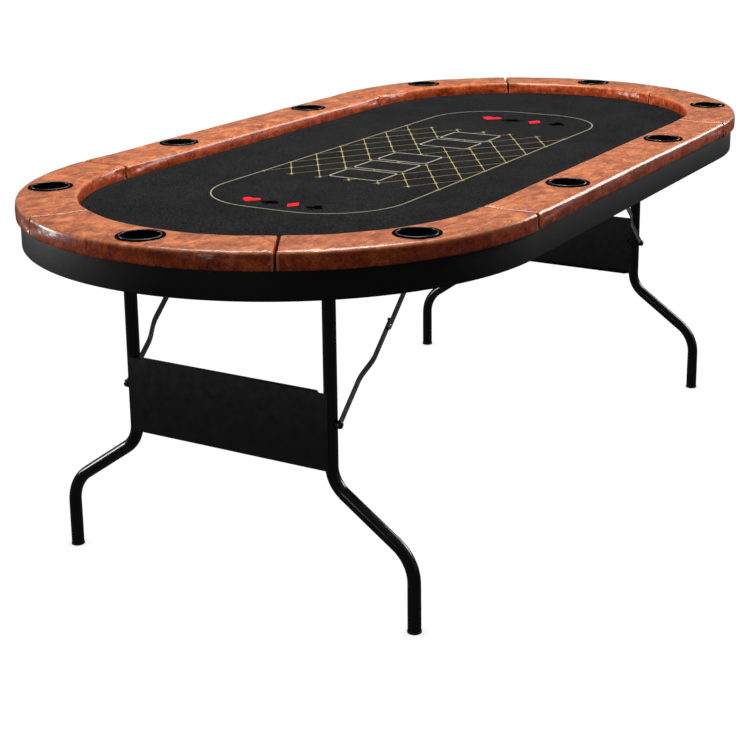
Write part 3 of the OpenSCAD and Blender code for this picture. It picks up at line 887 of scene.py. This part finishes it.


def cup_profile():
    """Profile of a cup holder: flat flange, a bead at its mouth, tapered bowl, rounded bottom."""
    top, bottom = CUP_TOP, CUP_BOTTOM
    floor = bottom + 1.8 * MM
    points = [(0.0, bottom), (30 * MM, bottom)] + arc((32 * MM, bottom + 4 * MM), 4 * MM, -90, 0, 6)
    points += [(37.6 * MM, top - 6 * MM), (37.8 * MM, top - 3 * MM), (CUP_RADIUS - 1 * MM, top - 3 * MM)]
    points += arc((CUP_RADIUS - 0.9 * MM, top - 2.1 * MM), 0.9 * MM, -80, 80, 6)
    points += [(CUP_RADIUS - 3.5 * MM, top - 1.15 * MM), (38.2 * MM, top - 1.1 * MM)]
    points += arc((BEAD_MIDDLE, top - BEAD_RADIUS), BEAD_RADIUS, 10, 180, 12)
    points += [(35.2 * MM, top - 4 * MM), (35.0 * MM, top - 12 * MM), (33.2 * MM, floor + 5 * MM)]
    points += arc((28.6 * MM, floor + 4.4 * MM), 4.4 * MM, 0, -90, 6)
    step = floor + 0.8 * MM
    return points + [(26 * MM, floor), (25 * MM, step), (23 * MM, step), (22 * MM, floor), (0.0, floor)]


def build_cup_holders():
    profile = cup_profile()
    for node in sorted(n for n in NODES if n.startswith("cup_holder")):
        middle = centre(node)
        part = lathe(profile, middle, 80)
        bowl = make_piece("bowl_" + node, *part, GLOSS_PLASTIC, "table_top", "cup_plastic", [node], 50)
        for finish in (FLANGE_PLASTIC, MOUTH_HIGHLIGHT_PLASTIC):
            bowl.data.materials.append(finish)
        for face in bowl.data.polygons:
            radius = math.hypot(face.center.x - middle.x, face.center.y - middle.y)
            # The mouth's faces take the lighter plastic: a painted highlight ring.
            mouth = MOUTH_FROM < radius < FLANGE_FROM and face.center.z > CUP_TOP - 0.8 * MM
            face.material_index = 2 if mouth else int(radius > FLANGE_FROM)


# ---------- apron ----------

def build_apron():
    """The apron's bands: straight along the sides and half round at the ends."""
    outline = rounded_box((APRON_LOW.y, APRON_LOW.z), (APRON_HIGH.y, BOARD_TOP - 0.05 * MM),
                          (0.8 * MM, 1.6 * MM, 0.5 * MM, 0.5 * MM), 4)
    bands = {}
    for side, face in SIDES.items():
        bands[side] = [[(x, face * r, z) for r, z in outline]
                       for x in np.linspace(-STRAIGHT_HALF, STRAIGHT_HALF, 25)]
    for end, sign in ENDS.items():
        bands[end + "_end"] = [[(sign * (STRAIGHT_HALF + r * math.cos(a)), r * math.sin(a), z)
                                for r, z in outline] for a in np.linspace(-math.pi / 2, math.pi / 2, 97)]
    for name, rings in bands.items():
        node = "apron_" + name
        make_piece("band_" + node, *loft(rings), LAMINATE, "table_top", "apron_black", [node], 40)


# ---------- leg frames ----------

TUBE = (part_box("crossbar_left")[1].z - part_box("crossbar_left")[0].z) / 2
TUBE_WALL = 1.5 * MM
UPRIGHT_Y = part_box("modesty_panel_left")[1].y - 2 * MM
LEG_X = centre("foot_cap_right_back").x
FOOT_Y = centre("foot_cap_right_back").y
HINGE_Z = centre("crossbar_left").z
ELBOW_RADIUS = 45 * MM
UPPER_BEND = 65 * MM
LOWER_BEND = 85 * MM
BEND_START = 296 * MM
BEND_ANGLE = math.radians(55)
BRACE_DROP = 314 * MM
FOOT_FLANGE = 4 * MM
FLATTENING = 0.035  # how much a bend is flattened
BEAD_THICKNESS = 0.9 * MM
PANEL_FLANGE = 11 * MM  # depth of the panel's folded edges
PANEL_SOFT = 0.5 * MM


def leg_line():
    """Centre line of a leg in its own plane, from the foot up to the crossbar: (out, up)."""
    both = UPPER_BEND + LOWER_BEND
    slope_out = FOOT_Y - UPRIGHT_Y - both * (1 - math.cos(BEND_ANGLE))
    slope = slope_out / math.sin(BEND_ANGLE)
    bend_end = BEND_START - both * math.sin(BEND_ANGLE) - slope * math.cos(BEND_ANGLE)
    degrees = math.degrees(BEND_ANGLE)
    points = [(FOOT_Y, FOOT_FLANGE), (FOOT_Y, 0.5 * bend_end)]
    points += arc((FOOT_Y - LOWER_BEND, bend_end), LOWER_BEND, 0, degrees, 14)
    points += arc((UPRIGHT_Y + UPPER_BEND, BEND_START), UPPER_BEND, 180 + degrees, 180, 14)
    points += [(UPRIGHT_Y, z) for z in np.linspace(BEND_START, HINGE_Z - ELBOW_RADIUS, 9)[1:-1]]
    points += arc((UPRIGHT_Y - ELBOW_RADIUS, HINGE_Z - ELBOW_RADIUS), ELBOW_RADIUS, 0, 90, 12)
    return points


def tube_along(line, turns=32):
    """A hollow tube whose centre line lies in the y-z plane, slightly flattened in its bends."""
    outer, inner = [], []
    last = len(line) - 1
    for i, (y, z) in enumerate(line):
        here, before, after = (Vector(line[j]) for j in (i, max(i - 1, 0), min(i + 1, last)))
        along = (after - before).normalized()
        bend = (here - before).angle(after - here) if 0 < i < last else 0.0
        flat = 1 - FLATTENING * min(bend / math.radians(4), 1.0)
        for ring, r in ((outer, TUBE), (inner, TUBE - TUBE_WALL)):
            ring.append([(r * math.sin(a), y - along.y * r * flat * math.cos(a),
                          z + along.x * r * flat * math.cos(a)) for a in circle(turns)])
    return loft(outer + inner[::-1], cap_ends=False, close_along=True)


def weld_bead(middle, seed):
    """A slightly uneven weld bead around the crossbar, which runs along y."""
    rings = []
    for a in circle(48):
        uneven = noise.noise(Vector((math.cos(a) * 4 + seed, math.sin(a) * 4, 0.5)))
        swell = BEAD_THICKNESS * (1 + 0.25 * uneven)
        ring = []
        for b in circle(8):
            r = TUBE + swell * math.cos(b)
            ring.append((middle[0] + r * math.cos(a), middle[1] + swell * math.sin(b),
                         middle[2] + r * math.sin(a)))
        rings.append(ring)
    return loft(rings, cap_ends=False, close_along=True)


def build_legs():
    line = leg_line()
    half = UPRIGHT_Y - ELBOW_RADIUS
    bar_line = [(y, HINGE_Z) for y in np.linspace(-half, half, 15)]
    for end, sign in ENDS.items():
        body = f"leg_frame_{end}"
        for side, face in SIDES.items():
            node = f"leg_{end}_{side}"
            tube = moved(tube_along(line), lambda v: (sign * LEG_X + v[0], face * v[1], v[2]))
            bead = weld_bead((sign * LEG_X, face * half, HINGE_Z), sign + 2 * face)
            make_piece("tube_" + node, *joined(tube, bead), TUBE_COAT, body, "black_steel", [node], 60)
            build_foot(f"foot_cap_{end}_{side}", body)
        bar = moved(tube_along(bar_line), lambda v: (sign * LEG_X + v[0], v[1], v[2]))
        make_piece(f"tube_crossbar_{end}", *bar, TUBE_COAT, body, "black_steel", [f"crossbar_{end}"], 60)
        build_panel(f"modesty_panel_{end}", sign, body)


def build_foot(node, body):
    """A moulded plug for the end of a tube, with a flat flange and a slightly dished sole."""
    low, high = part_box(node)
    middle = (low + high) / 2
    radius, top = (high.x - low.x) / 2, high.z
    plug = TUBE - TUBE_WALL - 0.3 * MM
    profile = [(0.0, 0.8 * MM), (9 * MM, 0.6 * MM), (10 * MM, 0.0), (radius - 1.2 * MM, 0.0)]
    profile += arc((radius - 1.0 * MM, 1.0 * MM), 1.0 * MM, -80, 0, 5)
    profile += arc((radius - 0.9 * MM, FOOT_FLANGE - 0.9 * MM), 0.9 * MM, 0, 90, 5)
    profile += [(plug, FOOT_FLANGE), (plug, top - 1.5 * MM), (plug - 1.5 * MM, top), (0.0, top)]
    part = lathe(profile, middle, 56)
    make_piece("sole_" + node, *part, FOOT_PLASTIC, body, "foot_plastic", [node], 40)


def build_panel(node, sign, body):
    """A sheet-steel modesty panel with its long edges folded back between the uprights."""
    low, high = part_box(node)
    outside = high.x if sign > 0 else low.x
    thick = high.x - low.x
    outline = rounded_box((0.0, low.z), (thick, high.z), [PANEL_SOFT] * 4, 3)
    rows = []
    for y in np.linspace(-high.y, high.y, 33):
        wave = 0.35 * MM * noise.noise(Vector((y * 6, sign * 3.1, 0.7))) * (1 - (abs(y) / high.y) ** 4)
        rows.append([(outside - sign * (x + abs(wave)), y, z) for x, z in outline])
    parts = [loft(rows)]
    inner = outside - sign * (thick - PANEL_SOFT)
    half = UPRIGHT_Y - TUBE - 4 * MM
    stations = ((-half, 0.9), (-half + 10 * MM, 0.0), (half - 10 * MM, 0.0), (half, 0.9))
    for a, b in ((low.z, low.z + thick), (high.z - thick, high.z)):
        fold = []
        for y, cut_away in stations:
            tip = inner - sign * PANEL_FLANGE * (1 - cut_away)
            box = rounded_box((min(inner, tip), a), (max(inner, tip), b), [0.4 * MM] * 4, 3)
            fold.append([(x, y, z) for x, z in box])
        parts.append(loft(fold))
    make_piece("sheet_" + node, *joined(*parts), PANEL_COAT, body, "panel_black", [node], 35)


# ---------- braces ----------

LINK_WIDTH = 14 * MM
LINK_THICKNESS = 3 * MM
BRACE_ANGLE = math.radians(42.5)
BRACE_LENGTH = BRACE_DROP / math.sin(BRACE_ANGLE)
BRACE_RUN = BRACE_DROP / math.tan(BRACE_ANGLE)
LOWER_LENGTH = (BRACE_LENGTH - (BRACE_RUN - BRACE_DROP)) / 2
UPPER_LENGTH = BRACE_LENGTH - LOWER_LENGTH
LOWER_LANE = UPRIGHT_Y + TUBE + 4 * MM
JOGGLE = 12 * MM
JOGGLE_START = 100 * MM
JOGGLE_LENGTH = 46 * MM
UPPER_LANE = LOWER_LANE + JOGGLE + LINK_THICKNESS + 0.4 * MM
TAIL = 13 * MM
RIB_DEPTH = 0.9 * MM
RIVET_RADIUS, RIVET_HEIGHT = 5 * MM, 1.8 * MM


def pressed_link(start, end, lane, round_end=True):
    """A pressed steel strip along x, with round ends and a long groove in each face."""
    half = LINK_WIDTH / 2
    section = [(-1, 0.75), (-0.93, 0.2), (-0.82, 0.0), (-0.52, 0.0), (-0.38, 1.0), (0.0, 1.0)]
    section += [(-mark, dip) for mark, dip in reversed(section[:-1])]
    stations = [start - half * math.cos(math.radians(a)) for a in range(2, 91, 11)]
    stations += list(np.linspace(start, end, 49)[1:])
    if round_end:
        stations += [end + half * math.sin(math.radians(a)) for a in range(11, 89, 11)]
    rings = []
    for x in stations:
        past = max(start - x, x - end if round_end else 0.0, 0.0)
        width = math.sqrt(max(half ** 2 - past ** 2, 0.0)) / half
        fade = float(ease(min(x - start, end - x), 9 * MM, 17 * MM))
        upper, lower = [], []
        for mark, dip in section:
            pressed = dip == 1.0
            sink = RIB_DEPTH * fade if pressed else 0.6 * MM * dip
            rise = RIB_DEPTH * 0.5 * fade if pressed else 0.4 * MM * dip
            across = half * width * mark
            upper.append((x, lane(x) + LINK_THICKNESS - sink, across))
            lower.append((x, lane(x) + rise, across))
        rings.append(upper + lower[::-1])
    return loft(rings)


def rivet_head(x, y, direction):
    """A rivet head on a face at y, swelling towards direction along y."""
    rings = []
    for i in range(7):
        a = math.radians(88 * i / 6)
        r, h = RIVET_RADIUS * math.cos(a), RIVET_HEIGHT * math.sin(a)
        rings.append([(x + r * math.cos(t), y + direction * h, r * math.sin(t)) for t in circle(28)])
    return loft(rings)


def lower_link_part():
    """The lower link with its stop tab, and its half of the rivet."""
    face, tip, edge = LOWER_LANE + JOGGLE, LOWER_LENGTH + TAIL, LINK_WIDTH / 2

    def lane(x):
        rise = ease(x, JOGGLE_START - 6 * MM, JOGGLE_START + JOGGLE_LENGTH + 6 * MM)
        return LOWER_LANE + JOGGLE * float(rise)

    parts = [pressed_link(0.0, tip, lane, round_end=False)]
    stop = (edge - 1 * MM, 0.5 * MM, LINK_THICKNESS)
    ledge = (edge, 0.6 * MM, 2 * LINK_THICKNESS + 0.6 * MM)
    for low, radius, depth in (stop, ledge):
        outline = rounded_box((tip - 5 * MM, low), (tip, edge + 2.5 * MM), [radius] * 4, 3)
        parts.append(loft([[(x, y, z) for x, z in outline] for y in (face, face + depth)]))
    return joined(*parts), rivet_head(LOWER_LENGTH, face + 0.2 * MM, -1)


def upper_link_part():
    """The upper link and its half of the rivet."""
    strip = pressed_link(0.0, UPPER_LENGTH, lambda x: UPPER_LANE)
    return strip, rivet_head(UPPER_LENGTH, UPPER_LANE + LINK_THICKNESS - 0.2 * MM, 1)


def build_braces():
    lower = (lower_link_part(), 0.0, -BRACE_DROP, 1)
    upper = (upper_link_part(), BRACE_RUN, 0.0, -1)
    for end, sign in ENDS.items():
        for side, face in SIDES.items():
            for level, (parts, run, rise, lean) in (("lower", lower), ("upper", upper)):
                turn = Matrix.Rotation(-lean * BRACE_ANGLE, 4, "Y")

                def place(v):
                    p = turn @ Vector(v)
                    return (sign * (LEG_X - run - lean * p.x), face * p.y, HINGE_Z + rise + p.z)

                node = f"{level}_link_{end}_{side}"
                strip, rivet = (moved(part, place) for part in parts)
                make_piece("strip_" + node, *strip, BRACE_COAT, node, "black_steel", [node], 45)
                make_piece("rivet_" + node, *rivet, ZINC, node, "bare_steel", smooth=45)


# ---------- CAD nodes that keep their shape ----------

def finish_cad_nodes():
    kept = {
        "table_board": PLYWOOD, "rail_base_boards": PLYWOOD, "batten_": PLYWOOD, "playing_foam": FOAM,
        "hinge_straps": BRACE_COAT, "brace_brackets": BRACE_COAT, "brace_bolts": TUBE_COAT,
        "brace_pins": ZINC, "underside_screws": ZINC,
    }
    for node, piece in NODES.items():
        for start, material in kept.items():
            if node.startswith(start):
                piece.data.materials.clear()
                piece.data.materials.append(material)


# ---------- studio ----------

CAMERA_AT = (-3.0613, -1.6659, 1.4009)
CAMERA_YAW = math.radians(29.374)
CAMERA_PITCH = math.radians(14.423)
CAMERA_ROLL = math.radians(-0.406)
LENS = 75.123
SHIFT = (-0.03333, -0.16667)


def build_camera():
    data = bpy.data.cameras.new("camera")
    data.lens = LENS
    data.shift_x, data.shift_y = SHIFT
    camera = add_object("camera", data)
    forward = Vector((math.cos(CAMERA_YAW) * math.cos(CAMERA_PITCH),
                      math.sin(CAMERA_YAW) * math.cos(CAMERA_PITCH), -math.sin(CAMERA_PITCH)))
    right = Vector((math.sin(CAMERA_YAW), -math.cos(CAMERA_YAW), 0.0))
    up = right.cross(forward)
    level = Matrix((right, up, -forward)).transposed().to_4x4()
    camera.matrix_world = Matrix.Translation(CAMERA_AT) @ level @ Matrix.Rotation(CAMERA_ROLL, 4, "Z")
    SCENE.camera = camera


def soft_box(name, at, size, power, target=(0.0, 0.0, 0.75)):
    data = bpy.data.lights.new(name, "AREA")
    data.shape = "RECTANGLE"
    data.size, data.size_y = size
    data.energy = power
    lamp = add_object(name, data)
    lamp.location = at
    lamp.rotation_euler = (Vector(at) - Vector(target)).to_track_quat("Z", "Y").to_euler()


def build_world():
    """A white cyclorama, with the room dark on the side that the camera looks from."""
    world = bpy.data.worlds.new("studio")
    SCENE.world = world
    t = Tree(world, empty=True)
    towards_camera = (-math.cos(CAMERA_YAW), -math.sin(CAMERA_YAW), 0.0)
    direction = t.node("TexCoord").outputs["Generated"]
    facing = t.node("VectorMath", {0: direction, 1: towards_camera}, operation="DOT_PRODUCT")
    room = t.span(facing.outputs["Value"], 0.21, 0.06, 0.25, 0.92, "SMOOTHSTEP")
    t.stage_surface("Background", 1.0, room, "World")


def build_floor():
    """A pale floor, evenly lit, with a little contact shade around whatever stands on it."""
    size = 20.0
    corners = [(-size, -size, 0), (size, -size, 0), (size, size, 0), (-size, size, 0)]
    floor = plain_object("floor", corners, [(0, 1, 2, 3)])
    material = bpy.data.materials.new("pale_floor")
    t = Tree(material, empty=True)
    contact = t.node("AmbientOcclusion", {"Distance": 0.06}, samples=8)
    t.stage_surface("Emission", t.span(contact.outputs["AO"], 0.66, 1.03, 0.35, 0.92), 0.07, "Material")
    floor.data.materials.append(material)


def build_studio():
    SCENE.view_settings.view_transform = "Standard"
    build_camera()
    build_world()
    build_floor()
    soft_box("overhead", (0.15, 0.5, 3.0), (2.4, 1.0), 84)
    soft_box("edge_strip", (-0.25, -0.15, 3.0), (1.5, 0.22), 34, (-0.25, -0.15, 0.75))
    soft_box("leg_strip", (-3.7, -0.1, 1.25), (0.30, 1.0), 5, (-0.5, -0.3, 0.2))
    soft_box("left_strip", (-1.5, 3.6, 1.0), (0.9, 1.2), 52, (-1.0, 0.2, 0.7))
    soft_box("front_right", (3.2, -2.0, 1.9), (2.0, 1.6), 90, (0.7, -0.4, 0.7))


build_studio()
build_rail()
build_felt()
build_print()
build_cup_holders()
build_apron()
build_legs()
build_braces()
finish_cad_nodes()
